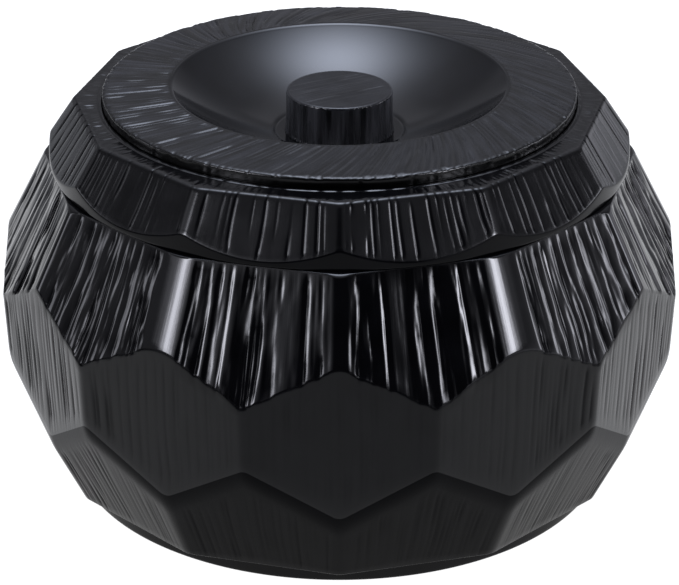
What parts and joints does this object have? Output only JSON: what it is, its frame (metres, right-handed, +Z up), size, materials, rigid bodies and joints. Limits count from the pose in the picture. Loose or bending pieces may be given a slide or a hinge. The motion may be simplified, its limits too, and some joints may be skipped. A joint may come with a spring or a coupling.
{
  "type": "lidded rice bowl",
  "caption": "Round faceted black lacquer-look rice container with a drop-on faceted lid, whose knob stands in a shallow dish.",
  "frame": {"origin": "centre of the underside, on the surface the bowl stands on", "axes": "+Z up along the bowl's axis; the middle of one belt facet faces -Y"},
  "size_m": [0.1866, 0.1866, 0.1137],
  "materials": {
    "body_lacquer": "gloss black lacquer look over a moulded wood-grain relief",
    "inner_gloss": "smooth gloss black",
    "foot_satin": "satin black",
    "lid_lacquer": "gloss black lacquer look over a moulded wood-grain relief",
    "top_lacquer": "fine grained ring, mirror-gloss dish",
    "knob_lacquer": "gloss black with grooved sides and a grained top",
    "liner_gloss": "smooth gloss black"
  },
  "bodies": {
    "bowl": {"foot_plate": "foot_satin", "body_shell": "body_lacquer", "inner_bowl": "inner_gloss"},
    "lid": {"lid_shell": "lid_lacquer", "lid_top": "top_lacquer", "lid_knob": "knob_lacquer", "lid_liner": "liner_gloss"}
  },
  "joints": [
    {"name": "lid_lift", "type": "slide", "parent": "bowl", "child": "lid", "axis": [0, 0, 1], "range_m": [0, 0.12]}
  ]
}
